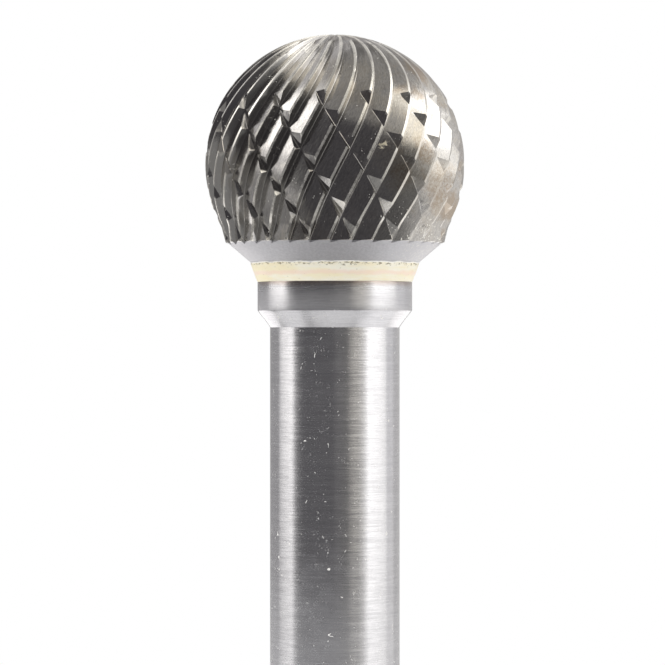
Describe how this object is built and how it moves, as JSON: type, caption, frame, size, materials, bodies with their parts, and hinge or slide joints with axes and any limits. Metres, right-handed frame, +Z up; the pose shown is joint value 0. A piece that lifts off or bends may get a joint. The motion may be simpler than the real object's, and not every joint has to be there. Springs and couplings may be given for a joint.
{
  "type": "ball-shaped carbide burr",
  "caption": "Ball-shaped rotary burr: a fluted carbide head with chip breakers, brazed to a straight cylindrical steel shank.",
  "frame": {"origin": "centre of the flat free end of the shank, which is also the bottom centre of the bounding box", "axes": "+Z up along the shank's axis to the pole of the ball; -Y is the side the first crest is set from"},
  "size_m": [0.012, 0.012, 0.051],
  "materials": {
    "carbide": "ground tungsten carbide, mirror-like in the flutes and satin on the neck",
    "braze": "pale silver braze alloy, machined flush",
    "shank_steel": "centreless-ground steel, fine rings round the shank"
  },
  "bodies": {
    "root": {"carbide_head": "carbide", "braze_joint": "braze", "steel_shank": "shank_steel"}
  },
  "joints": []
}
